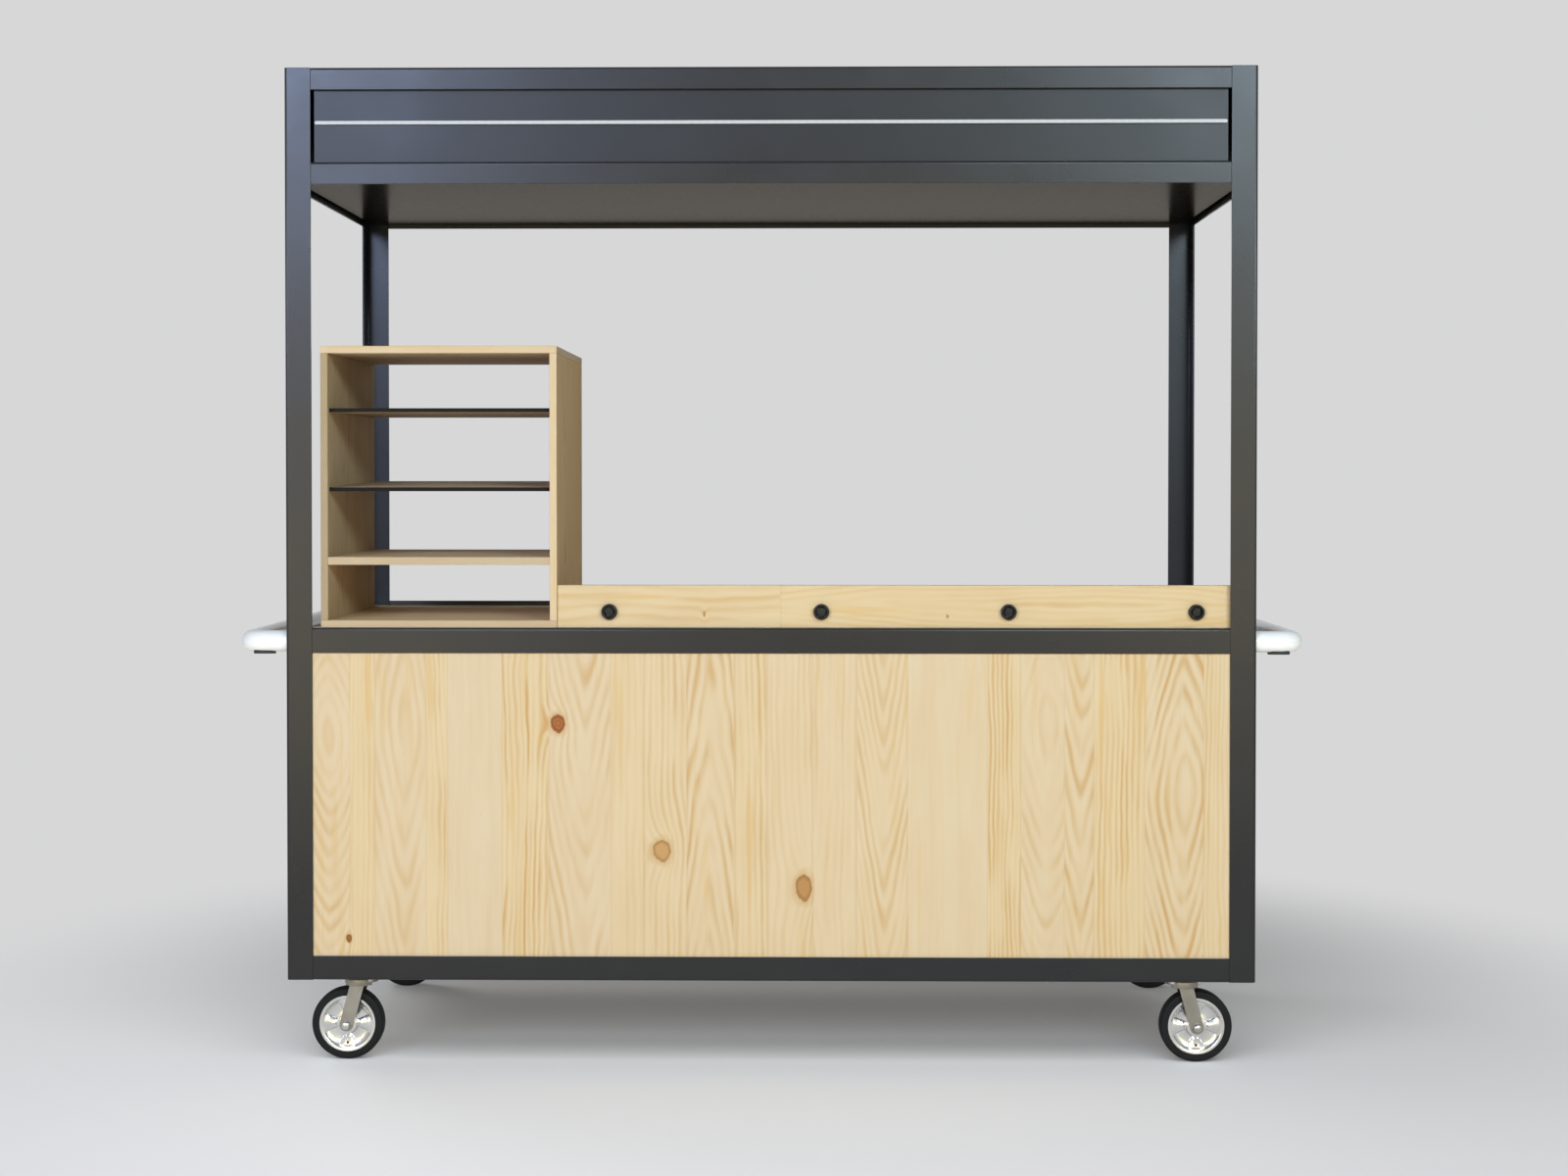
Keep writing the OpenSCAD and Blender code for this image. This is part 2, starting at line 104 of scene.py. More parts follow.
def powder_coat(name, colour, worn_colour, roughness, gloss=0.5):
    """Baked polyester powder on steel. A faint orange peel breaks up its reflections, and handling leaves
    soft patches that are a little duller. Real peel is about 1.5 mm across; it is drawn at 4 mm to show."""
    material, tree, place = start_material(name)
    peel = add(tree, "TexNoise", {"Vector": place, "Scale": 1 / (4 * MM), "Detail": 2.0})
    patches = add(
        tree, "TexNoise", {"Vector": place, "Scale": 1 / (180 * MM), "Detail": 4.0, "Roughness": 0.6}
    )
    worn = add(tree, "MapRange", [patches, 0.52, 0.78, 0.0, 0.5], interpolation_type="SMOOTHSTEP")
    paint = {0: worn, 6: linear(colour), 7: linear(worn_colour)}
    dull = add(tree, "MapRange", [patches, 0.3, 0.7, roughness - 0.03, roughness + 0.04])
    surface = {
        "Base Color": add(tree, "Mix", paint, 2, data_type="RGBA"),
        "Roughness": dull,
        "Specular IOR Level": gloss,
        "Normal": add(tree, "Bump", {"Height": peel, "Distance": 0.06 * MM}),
    }
    add(tree, "OutputMaterial", [add(tree, "BsdfPrincipled", surface)])
    return material


def bare_metal(name, colour, shade, roughness, grain, depth=0.01 * MM, edge_tint="#ffffff"):
    """Bare metal, rolled, turned, plated or anodised: fine lines run along the axis with the smallest grain
    factor and spread its reflections. Lines under 0.5 mm are drawn at about 1 mm to show. A dark anodised
    film keeps reflecting little at a glancing angle, which edge_tint gives."""
    material, tree, place = start_material(name)
    along = add(tree, "VectorMath", [place, grain], operation="MULTIPLY")
    lines = add(tree, "TexNoise", {"Vector": along, "Scale": 1 / (1 * MM), "Detail": 2.0, "Roughness": 0.6})
    clouds = add(tree, "TexNoise", {"Vector": place, "Scale": 1 / (60 * MM), "Detail": 3.0})
    toned = add(tree, "MapRange", [clouds, 0.35, 0.7, 0.0, 1.0], interpolation_type="SMOOTHSTEP")
    surface = {
        "Base Color": add(tree, "Mix", {0: toned, 6: linear(colour), 7: linear(shade)}, 2, data_type="RGBA"),
        "Metallic": 1.0,
        "Specular Tint": linear(edge_tint),
        "Roughness": add(tree, "MapRange", [lines, 0.3, 0.7, roughness * 0.8, roughness * 1.3]),
        "Normal": add(tree, "Bump", {"Height": lines, "Distance": depth}),
    }
    add(tree, "OutputMaterial", [add(tree, "BsdfPrincipled", surface)])
    return material


def moulded(name, colour, shade, roughness, grain_size, depth, gloss=0.5):
    """Moulded plastic or rubber: a fine spark-eroded grain and a slight bloom."""
    material, tree, place = start_material(name)
    grain = add(tree, "TexNoise", {"Vector": place, "Scale": 1 / grain_size, "Detail": 3.0, "Roughness": 0.6})
    bloom = add(tree, "TexNoise", {"Vector": place, "Scale": 1 / (40 * MM), "Detail": 3.0})
    toned = add(tree, "MapRange", [bloom, 0.35, 0.75, 0.0, 1.0], interpolation_type="SMOOTHSTEP")
    surface = {
        "Base Color": add(tree, "Mix", {0: toned, 6: linear(colour), 7: linear(shade)}, 2, data_type="RGBA"),
        "Roughness": add(tree, "MapRange", [bloom, 0.3, 0.7, roughness - 0.05, roughness + 0.08]),
        "Specular IOR Level": gloss,
        "Normal": add(tree, "Bump", {"Height": grain, "Distance": depth}),
    }
    add(tree, "OutputMaterial", [add(tree, "BsdfPrincipled", surface)])
    return material


def stove_enamel(name, colour, shade):
    """White enamel baked on steel tube: a hard glassy coat over pigment, with a slow waviness that bends its
    reflections and a faint greying where hands hold it."""
    material, tree, place = start_material(name)
    wave = add(tree, "TexNoise", {"Vector": place, "Scale": 1 / (25 * MM), "Detail": 1.0})
    hands = add(tree, "TexNoise", {"Vector": place, "Scale": 1 / (90 * MM), "Detail": 3.0})
    greyed = add(tree, "MapRange", [hands, 0.5, 0.75, 0.0, 1.0], interpolation_type="SMOOTHSTEP")
    surface = {
        "Base Color": add(tree, "Mix", {0: greyed, 6: linear(colour), 7: linear(shade)}, 2, data_type="RGBA"),
        "Roughness": add(tree, "MapRange", [hands, 0.3, 0.7, 0.1, 0.2]),
        "Normal": add(tree, "Bump", {"Height": wave, "Distance": 0.1 * MM}),
    }
    add(tree, "OutputMaterial", [add(tree, "BsdfPrincipled", surface)])
    return material


def light_diffuser(name):
    """Opal acrylic over a row of LEDs 17 mm apart: an even white glow that dims a little between them."""
    material, tree, place = start_material(name)
    along = add(tree, "SeparateXYZ", [place])
    turns = add(tree, "Math", [along, math.tau / (17 * MM)], operation="MULTIPLY")
    wave = add(tree, "Math", [turns], operation="COSINE")
    surface = {
        "Base Color": linear("#bab8b2"),
        "Roughness": 0.45,
        "Emission Color": linear("#fdfaf2"),
        "Emission Strength": add(tree, "Math", [wave, 0.01, 0.06], operation="MULTIPLY_ADD"),
    }
    add(tree, "OutputMaterial", [add(tree, "BsdfPrincipled", surface)])
    return material


# ---- Wood ----

PINE_TAN = "#e3c694"
PINE_PALE = "#dec6a1"
PINE_LATE = "#c9964f"
PINE_STREAK = "#dcb473"
PINE_FLECK = "#a9713c"
KNOT_RIM = "#d8ccc4"
BOARD_W = 100 * MM  # mean width of the boards drawn at random

# What sets a board's figure. A table or a draw gives each as 0 to 1 between these two values
FIGURE = {
    "pith": (-0.3, 0.3),  # the tree's middle, across from the board's own
    "depth": (0.0, 40 * MM),  # and behind the board's face
    "turn": (-2.0, 2.0),  # the place along, round which arches turn back into ovals
    "taper": (0.0, 0.5),  # how fast the rings widen along the board
    "spacing": (6 * MM, 24 * MM),  # of the rings
    "strength": (0.0, 1.0),  # of their late wood
    "tone": (0.0, 1.0),  # from pale to tan
}


def boards_by_table(tree, place, boards):
    """Figures of boards laid side by side, looked up by a place across them. boards gives each board's near
    edge and its figures in FIGURE's order; the last row is the far edge alone."""
    steps = 255
    start, stop = boards[0][0], boards[-1][0]
    edges = [round(steps * (row[0] - start) / (stop - start)) for row in boards]
    rows = []
    for row, near, far in zip(boards, edges, edges[1:]):
        shares = [(value - low) / (high - low) for value, (low, high) in zip(row[1:], FIGURE.values())]
        rows.append([(near + far) / 2 / steps, (far - near) / 2 / steps] + shares)
    share = add(tree, "MapRange", [place, start, stop, 0.0, 1.0])
    found = []
    for first in (0, 3, 6):
        ramp = add(tree, "ValToRGB", [share])
        stops = ramp.node.color_ramp
        stops.interpolation = "CONSTANT"
        while len(stops.elements) < len(rows):
            stops.elements.new(1.0)
        for stop_at, near, row in zip(stops.elements, edges, rows):
            stop_at.position = max(0.0, (near - 0.5) / steps)
            stop_at.color = (*row[first : first + 3], 1.0)
        found += add(tree, "SeparateColor", [ramp]).node.outputs
    middle, half = found[:2]
    shift = add(tree, "Math", [share, middle], operation="SUBTRACT")
    from_middle = add(tree, "Math", [shift, stop - start], operation="MULTIPLY")
    inset = add(tree, "Math", [add(tree, "Math", [shift], operation="ABSOLUTE"), half], operation="SUBTRACT")
    figure = {
        name: add(tree, "MapRange", [value, 0.0, 1.0, low, high])
        for (name, (low, high)), value in zip(FIGURE.items(), found[2:])
    }
    figure["from middle"] = from_middle
    figure["from seam"] = add(tree, "Math", [inset, start - stop], operation="MULTIPLY")
    figure["key"] = middle
    return figure


def boards_by_draw(tree, across, seed):
    """Figures of boards of about one width, drawn at random: some flat-sawn with arches, some near the
    quarter with straight lines."""
    column = add(tree, "Math", [across, 1 / BOARD_W, seed], operation="MULTIPLY_ADD")
    cells = {"W": column, "Scale": 1.0, "Randomness": 0.5}
    middle = add(tree, "TexVoronoi", cells, "W", voronoi_dimensions="1D")
    seam = add(tree, "TexVoronoi", cells, voronoi_dimensions="1D", feature="DISTANCE_TO_EDGE")
    seam = add(tree, "Math", [seam, BOARD_W], operation="MULTIPLY")
    shift = add(tree, "Math", [column, middle], operation="SUBTRACT")
    key = add(tree, "CombineXYZ", [middle, 0.0, seed])
    dice = add(tree, "TexWhiteNoise", {"Vector": key}, "Color", noise_dimensions="3D")
    one, two, three = add(tree, "SeparateColor", [dice]).node.outputs
    flat_sawn = add(tree, "MapRange", [one, 0.34, 0.38, 0.0, 1.0])
    side = add(tree, "Math", [two, 0.5], operation="SUBTRACT")
    far = add(tree, "Math", [add(tree, "Math", [side], operation="SIGN"), 0.26], operation="MULTIPLY")
    near = add(tree, "Math", [side, 0.5 * BOARD_W], operation="MULTIPLY")
    way = add(tree, "Math", [add(tree, "Math", [three, 0.5], operation="SUBTRACT")], operation="SIGN")
    return {
        "pith": add(tree, "Mix", {0: flat_sawn, 2: far, 3: near}),
        "depth": add(tree, "MapRange", [three, 0.0, 1.0, 8 * MM, 25 * MM]),
        "turn": add(tree, "Math", [way, 1.6], operation="MULTIPLY"),
        "taper": add(tree, "MapRange", [flat_sawn, 0.0, 1.0, 0.006, 0.13]),
        "spacing": add(tree, "MapRange", [two, 0.0, 1.0, 10 * MM, 16 * MM]),
        "strength": add(tree, "MapRange", [three, 0.1, 0.7, 0.15, 0.9]),
        "tone": add(tree, "MapRange", [one, 0.0, 0.6, 0.75, 0.2]),
        "from middle": add(tree, "Math", [shift, BOARD_W], operation="MULTIPLY"),
        "from seam": seam,
        "key": one,
    }


def grain_factors(along, slow, fast):
    """Stretch factors for X, Y and Z: slow along the grain and fast across it."""
    return [slow if axis == along else fast for axis in "XYZ"]


def ring_distance(tree, place, along, u, figure):
    """Distance from the tree's middle at each place of a board: a tapering trunk cut by the board's face."""
    sideways = add(tree, "Math", [figure["from middle"], figure["pith"]], operation="SUBTRACT")
    squares = add(tree, "Math", [figure["depth"], figure["depth"]], operation="MULTIPLY")
    squares = add(tree, "Math", [sideways, sideways, squares], operation="MULTIPLY_ADD")
    radius = add(tree, "Math", [squares], operation="SQRT")
    slow_place = add(tree, "VectorMath", [place, grain_factors(along, 2.6, 9.0)], operation="MULTIPLY")
    slow = add(tree, "TexNoise", {"Vector": slow_place, "Scale": 1.0, "Detail": 3.0})
    radius = add(tree, "Math", [slow, 46 * MM, radius], operation="MULTIPLY_ADD")
    lengthways = add(tree, "Math", [u, figure["turn"]], operation="SUBTRACT")
    squares = add(tree, "Math", [lengthways, lengthways, (50 * MM) ** 2], operation="MULTIPLY_ADD")
    lengthways = add(tree, "Math", [squares], operation="SQRT")
    return add(tree, "Math", [lengthways, figure["taper"], radius], operation="MULTIPLY_ADD")


def with_knots(tree, place, along, across, knots, distance):
    """Knots have a dark rim and rings of their own, and push the growth rings aside. Returns the changed
    distance of the growth rings, where the knots are, and their colour."""
    knot_mask, knot_colour = 0.0, linear(PINE_LATE)
    for knot_v, knot_u, knot_r, longer, colour in knots:
        centre_of = {along: knot_u, across: knot_v}
        sizes = {along: longer * knot_r, across: knot_r}
        spot = {
            "Vector": place,
            "Location": [centre_of.get(axis, 0.0) for axis in "XYZ"],
            "Scale": [sizes.get(axis, 100.0) for axis in "XYZ"],
        }
        local = add(tree, "Mapping", spot, vector_type="TEXTURE")
        ragged = add(tree, "TexNoise", {"Vector": local, "Scale": 1.3, "Detail": 2.0})
        reach = add(tree, "VectorMath", [local], "Value", operation="LENGTH")
        reach = add(tree, "Math", [ragged, 0.5, reach], operation="MULTIPLY_ADD")
        falling = add(tree, "Math", [reach, -0.75], operation="MULTIPLY")
        swell = add(tree, "Math", [falling], operation="EXPONENT")
        distance = add(tree, "Math", [swell, 3.0 * knot_r, distance], operation="MULTIPLY_ADD")
        inside = add(tree, "MapRange", [reach, 1.0, 1.2, 1.0, 0.0], interpolation_type="SMOOTHSTEP")
        turns = add(tree, "Math", [add(tree, "Math", [reach, 21.0], operation="MULTIPLY")], operation="SINE")
        rings = add(tree, "MapRange", [turns, -1.0, 1.0, 0.0, 0.35])
        heart = add(tree, "Mix", {0: rings, 6: linear(colour), 7: linear(PINE_LATE)}, 2, data_type="RGBA")
        rim = add(tree, "MapRange", [reach, 0.75, 1.05, 0.0, 1.0])
        shade = {0: rim, 6: heart, 7: linear(KNOT_RIM)}
        heart = add(tree, "Mix", shade, 2, data_type="RGBA", blend_type="MULTIPLY")
        knot_colour = add(tree, "Mix", {0: inside, 6: knot_colour, 7: heart}, 2, data_type="RGBA")
        halo = add(tree, "MapRange", [reach, 1.15, 1.6, 0.4, 0.0])
        knot_mask = add(tree, "Math", [knot_mask, inside], operation="MAXIMUM")
        knot_mask = add(tree, "Math", [knot_mask, halo], operation="MAXIMUM")
    return distance, knot_mask, knot_colour


def late_wood(tree, place, along, figure, distance, on_face):
    """A soft line on each growth ring, of its own strength, fainter in places and on sawn edges."""
    phase = add(tree, "Math", [distance, figure["spacing"]], operation="DIVIDE")
    step = add(tree, "Math", [phase], operation="FRACT")
    rise = add(tree, "MapRange", [step, 0.12, 0.66, 0.0, 1.0], interpolation_type="SMOOTHSTEP")
    fall = add(tree, "MapRange", [step, 0.6, 1.0, 1.0, 0.0], interpolation_type="SMOOTHSTEP")
    number = add(tree, "Math", [phase], operation="FLOOR")
    ring_key = add(tree, "Math", [figure["key"], 91.7, number], operation="MULTIPLY_ADD")
    ring_dice = add(tree, "TexWhiteNoise", {"W": ring_key}, noise_dimensions="1D")
    uneven = add(tree, "MapRange", [ring_dice, 0.0, 1.0, 0.15, 0.85])
    fade_place = add(tree, "VectorMath", [place, grain_factors(along, 4.5, 22.0)], operation="MULTIPLY")
    fade = add(tree, "TexNoise", {"Vector": fade_place, "Scale": 1.0, "Detail": 2.0})
    fade = add(tree, "MapRange", [fade, 0.32, 0.58, 0.2, 1.0], interpolation_type="SMOOTHSTEP")
    late = add(tree, "Math", [rise, fall], operation="MULTIPLY")
    for factor in (uneven, fade, figure["strength"], on_face):
        late = add(tree, "Math", [late, factor], operation="MULTIPLY")
    return late


def sapwood(tree, figure, late, noises, tan):
    """Colour of the clear wood: tan or pale boards, darker late wood, fibres, resin streaks and flecks."""
    wood = add(tree, "Mix", {0: figure["tone"], 6: linear(PINE_PALE), 7: linear(tan)}, 2, data_type="RGBA")
    amount = add(tree, "MapRange", [noises["cloud"], 0.3, 0.75, -0.02, 0.16])
    amount = add(tree, "Math", [late, amount], operation="ADD")
    amount = add(tree, "Math", [noises["fibre"], 0.1, amount], operation="MULTIPLY_ADD")
    amount = add(tree, "Math", [amount, 0.05], operation="SUBTRACT")
    wood = add(tree, "Mix", {0: amount, 6: wood, 7: linear(PINE_LATE)}, 2, data_type="RGBA")
    streaks = add(tree, "MapRange", [noises["streak"], 0.57, 0.75, 0.0, 1.0], interpolation_type="SMOOTHSTEP")
    more = add(tree, "MapRange", [figure["tone"], 0.1, 0.8, 0.2, 0.75])
    streaks = add(tree, "Math", [streaks, more], operation="MULTIPLY")
    wood = add(tree, "Mix", {0: streaks, 6: wood, 7: linear(PINE_STREAK)}, 2, data_type="RGBA")
    flecks = add(tree, "MapRange", [noises["fleck"], 0.76, 0.84, 0.0, 0.4])
    return add(tree, "Mix", {0: flecks, 6: wood, 7: linear(PINE_FLECK)}, 2, data_type="RGBA")


def pine(name, along, across, seed, boards=(), end_to_end=None, knots=(), gloss=0.15, tan=PINE_TAN,
         face_shade_tint="#ffffff", edge_shade_tint="#ffffff", left_shade_tint=None):
    """Edge-glued pine under a satin clear lacquer. Each glued board is cut flat or near the quarter, so its
    growth rings show as long arches or as straight soft lines, and some boards are nearly plain. Resin gives
    long yellow streaks. Knots are (place across, place along, radius, length over width, colour), and the
    rings bend round them. boards is a table of the boards, laid side by side, or end to end where end_to_end
    gives their middle's place across; without a table they are drawn at random. Painted shade can be
    multiplied into the colour: one tint on the faces, one on the sawn edges, and one, given with a place
    along X, on what lies left of that place."""
    material, tree, place = start_material(name)
    places = dict(zip("XYZ", add(tree, "SeparateXYZ", [place]).node.outputs))
    facing = add(tree, "TexCoord", output="Normal")
    normals = dict(zip("XYZ", add(tree, "SeparateXYZ", [facing]).node.outputs))
    on_edge = add(tree, "Math", [normals[across]], operation="ABSOLUTE")
    on_face = add(tree, "MapRange", [on_edge, 0.4, 0.6, 1.0, 0.1])
    u, v = places[along], places[across]
    if boards:
        figure = boards_by_table(tree, v if end_to_end is None else u, boards)
    else:
        figure = boards_by_draw(tree, v, seed)
    if end_to_end is not None:
        figure["from middle"] = add(tree, "Math", [v, end_to_end], operation="SUBTRACT")

    distance = ring_distance(tree, place, along, u, figure)
    distance, knot_mask, knot_colour = with_knots(tree, place, along, across, knots, distance)
    late = late_wood(tree, place, along, figure, distance, on_face)
    # Rates of change per metre, along and across the grain
    noises = {"fibre": (9.0, 300.0), "cloud": (5.0, 26.0), "streak": (3.2, 60.0), "fleck": (22.0, 230.0)}
    for kind, (slow_rate, fast_rate) in noises.items():
        factors = grain_factors(along, slow_rate, fast_rate)
        noise_place = add(tree, "VectorMath", [place, factors], operation="MULTIPLY")
        noises[kind] = add(tree, "TexNoise", {"Vector": noise_place, "Scale": 1.0, "Detail": 2.0})
    wood = sapwood(tree, figure, late, noises, tan)
    if knots:
        wood = add(tree, "Mix", {0: knot_mask, 6: wood, 7: knot_colour}, 2, data_type="RGBA")
    seam_line = add(tree, "MapRange", [figure["from seam"], 0.4 * MM, 2.2 * MM, 0.1, 0.0])
    wood = add(tree, "Mix", {0: seam_line, 6: wood, 7: linear(PINE_FLECK)}, 2, data_type="RGBA")

    # Painted shade: tints multiplied into the faces, the sawn edges and what lies left of a place along X
    # darken the wood where it stands in shade
    painted_shade = add(tree, "Mix", {0: on_face, 6: linear(edge_shade_tint), 7: linear(face_shade_tint)}, 2, data_type="RGBA")
    if left_shade_tint:
        limit, left_shade_colour = left_shade_tint
        left = add(tree, "Math", [places["X"], limit], operation="LESS_THAN")
        painted_shade = add(tree, "Mix", {0: left, 6: painted_shade, 7: linear(left_shade_colour)}, 2, data_type="RGBA")
    wood_and_shade = {0: 1.0, 6: wood, 7: painted_shade}
    height = add(tree, "Math", [late, 1.2, noises["fibre"]], operation="MULTIPLY_ADD")
    surface = {
        "Base Color": add(tree, "Mix", wood_and_shade, 2, data_type="RGBA", blend_type="MULTIPLY"),
        "Roughness": add(tree, "MapRange", [noises["fibre"], 0.3, 0.7, 0.6, 0.75]),
        "Specular IOR Level": gloss,
        "Normal": add(tree, "Bump", {"Height": height, "Distance": 0.05 * MM}),
    }
    add(tree, "OutputMaterial", [add(tree, "BsdfPrincipled", surface)])
    return material


# ---- Finishes ----

frame_paint = powder_coat("powder coat, near-black semi-gloss", "#1b1b1c", "#202020", 0.29, 0.43)
canopy_paint = powder_coat("powder coat, near-black satin", "#1d1e20", "#222324", 0.34, 0.36)
castor_paint = powder_coat("powder coat, black on pressed steel", "#1b1b1c", "#262626", 0.4)
soffit_sheet = bare_metal(
    "aluminium sheet, dark bronze anodised", "#78746b", "#736f66", 0.22, (0.05, 1.0, 1.0), 0.003 * MM,
    "#8f8b84",
)
handle_enamel = stove_enamel("white gloss enamel on steel tube", "#fffaf0", "#fbf5ea")
zinc_steel = bare_metal("zinc-plated pressed steel", "#9c988f", "#88847b", 0.42, (1.0, 1.0, 0.1), 0.02 * MM)
bolt_steel = bare_metal("zinc-plated bolt steel", "#d6d5d1", "#b5b3ad", 0.25, (1.0, 1.0, 1.0))
rim_metal = bare_metal("turned aluminium, polished", "#e6e5e1", "#d7d6d2", 0.19, (1.0, 1.0, 1.0), 0.003 * MM)
strip_metal = bare_metal("anodised aluminium strip", "#5a5c60", "#515357", 0.35, (0.05, 1.0, 1.0))
tyre_rubber = moulded("solid rubber, moulded", "#0e0e0d", "#151514", 0.6, 1.2 * MM, 0.08 * MM, 0.22)
pad_rubber = moulded("soft black rubber, moulded", "#1a1917", "#22201d", 0.6, 0.8 * MM, 0.05 * MM)
knob_abs = moulded("black ABS, moulded", "#14110f", "#1b1816", 0.38, 0.6 * MM, 0.02 * MM, 0.28)
cap_abs = moulded("charcoal ABS, moulded", "#25261f", "#1f201b", 0.6, 0.6 * MM, 0.03 * MM, 0.25)
edge_strip = moulded("black melamine edging, matt", "#1a1511", "#211b16", 0.7, 0.5 * MM, 0.01 * MM, 0.15)
lit_acrylic = light_diffuser("opal acrylic light diffuser")

# Near edge, pith, depth, turn, taper, ring spacing, strength and tone of each board in the front wall
FRONT_BOARDS = (
    (-0.960, 0.004, 14 * MM, 0.69, 0.40, 16 * MM, 0.55, 0.3),
    (-0.873, 0.220, 0.0, 0.0, 0.004, 10 * MM, 0.60, 0.7),
    (-0.816, 0.008, 12 * MM, 0.70, 0.22, 19 * MM, 0.45, 0.25),
    (-0.714, -0.200, 0.0, 0.0, 0.006, 10 * MM, 0.60, 0.6),
    (-0.663, 0.300, 0.0, 0.0, 0.0, 20 * MM, 0.10, 0.15),
    (-0.555, 0.200, 0.0, 0.0, 0.008, 11 * MM, 1.00, 0.6),
    (-0.453, 0.012, 12 * MM, 1.00, 0.19, 17 * MM, 0.75, 0.2),
    (-0.326, -0.250, 0.0, 0.0, 0.0, 14 * MM, 0.20, 0.45),
    (-0.262, 0.060, 10 * MM, 1.20, 0.02, 13 * MM, 0.65, 0.4),
    (-0.173, -0.006, 10 * MM, 0.15, 0.16, 18 * MM, 1.00, 0.3),
    (-0.071, -0.150, 0.0, 0.0, 0.02, 14 * MM, 0.75, 0.5),
    (-0.001, 0.200, 0.0, 0.0, 0.0, 14 * MM, 0.30, 0.35),
    (0.088, -0.200, 0.0, 0.0, 0.01, 15 * MM, 0.35, 0.3),
    (0.177, 0.004, 8 * MM, 1.00, 0.17, 13 * MM, 0.60, 0.35),
    (0.279, 0.300, 0.0, 0.0, 0.0, 20 * MM, 0.08, 0.2),
    (0.451, -0.250, 0.0, 0.0, 0.006, 10 * MM, 1.00, 0.6),
    (0.514, 0.010, 18 * MM, 0.71, 0.35, 19 * MM, 0.40, 0.25),
    (0.604, 0.006, 8 * MM, 1.00, 0.20, 16 * MM, 0.85, 0.3),
    (0.667, 0.250, 0.0, 0.0, 0.006, 11 * MM, 0.80, 0.65),
    (0.775, 0.022, 14 * MM, 0.57, 0.28, 17 * MM, 0.95, 0.3),
    (0.896, -0.200, 0.0, 0.0, 0.006, 10 * MM, 0.65, 0.5),
    (0.960,),
)
# Place across, place along, radius, length over width and colour of each knot
FRONT_KNOTS = (
    (-0.438, 0.713, 18 * MM, 1.3, "#9c5630"),
    (-0.223, 0.450, 22 * MM, 1.25, "#c79a62"),
    (0.070, 0.374, 20 * MM, 1.7, "#b98752"),
    (-0.872, 0.267, 7 * MM, 1.5, "#8a5228"),
)
BACK_KNOTS = (
    (0.520, 0.640, 16 * MM, 1.35, "#a8693f"),
    (-0.310, 0.330, 20 * MM, 1.3, "#c1935b"),
    (-0.760, 0.720, 12 * MM, 1.5, "#b07c48"),
)
END_KNOTS = ((-0.170, 0.610, 15 * MM, 1.35, "#a8693f"), (0.210, 0.340, 18 * MM, 1.4, "#c1935b"))
TOP_KNOTS = ((0.150, 0.420, 15 * MM, 1.4, "#b07c48"), (-0.120, -0.160, 14 * MM, 1.3, "#c1935b"))
# Two boards end to end, with a finger joint between them
UPSTAND_BOARDS = (
    (-0.480, -0.050, 30 * MM, 2.0, 0.012, 17 * MM, 0.45, 0.6),
    (0.025, 0.005, 6 * MM, 0.62, 0.045, 12 * MM, 0.5, 0.75),
    (0.960,),
)
UPSTAND_KNOTS = (
    (0.940, -0.136, 7 * MM, 0.35, "#b98752"),
    (0.905, -0.172, 5 * MM, 0.8, "#b98752"),
    (0.935, 0.366, 4 * MM, 0.8, "#b98752"),
)
pine_front = pine("pine wall, front", "Z", "X", 3.4, FRONT_BOARDS, knots=FRONT_KNOTS)
pine_back = pine("pine wall, back", "Z", "X", 61.2, knots=BACK_KNOTS)
pine_ends = pine("pine wall, ends", "Z", "Y", 17.8, knots=END_KNOTS)
pine_top = pine("pine worktop", "X", "Y", 40.5, knots=TOP_KNOTS)
# Painted shade: a grey-blue tint multiplied into the base board cools the light it throws into the shadow
# beneath the cart
pine_base = pine("pine base board, grey-blue shade tint", "X", "Y", 83.1, face_shade_tint="#cfdaef")
low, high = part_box("upstand")
pine_upstand = pine(
    "pine upstand, finger-jointed", "X", "Z", 0.3, UPSTAND_BOARDS, (low.z + high.z) / 2, knots=UPSTAND_KNOTS,
    tan="#e2c491",
)
# Painted shade: the upright boards' faces are darkened, and the whole left board more, where the shelf unit
# stands in shade
shelf_upright = pine(
    "pine shelf board, upright", "Z", "Y", 9.7, gloss=0.1, face_shade_tint="#f2e5d6", left_shade_tint=(-0.9, "#cdcbc7")
)
# Painted shade: a cool grey tint darkens the top board's faces, for its shaded underside
shelf_level = pine("pine shelf board, level", "X", "Y", 23.9, gloss=0.1, face_shade_tint="#eeeefa")
# Painted shade: the sawn front edges of the bottom board and lower shelf are darkened, as the boards above
# shade them
shelf_low = pine("pine shelf board, low", "X", "Y", 23.9, gloss=0.1, edge_shade_tint="#e6e6ea")
# Painted shade: a grey tint darkens the thin shelves' faces, where they lie in the shelf unit's shade
shelf_thin = pine("pine shelf board, thin", "X", "Y", 31.6, gloss=0.1, face_shade_tint="#cccbd0")

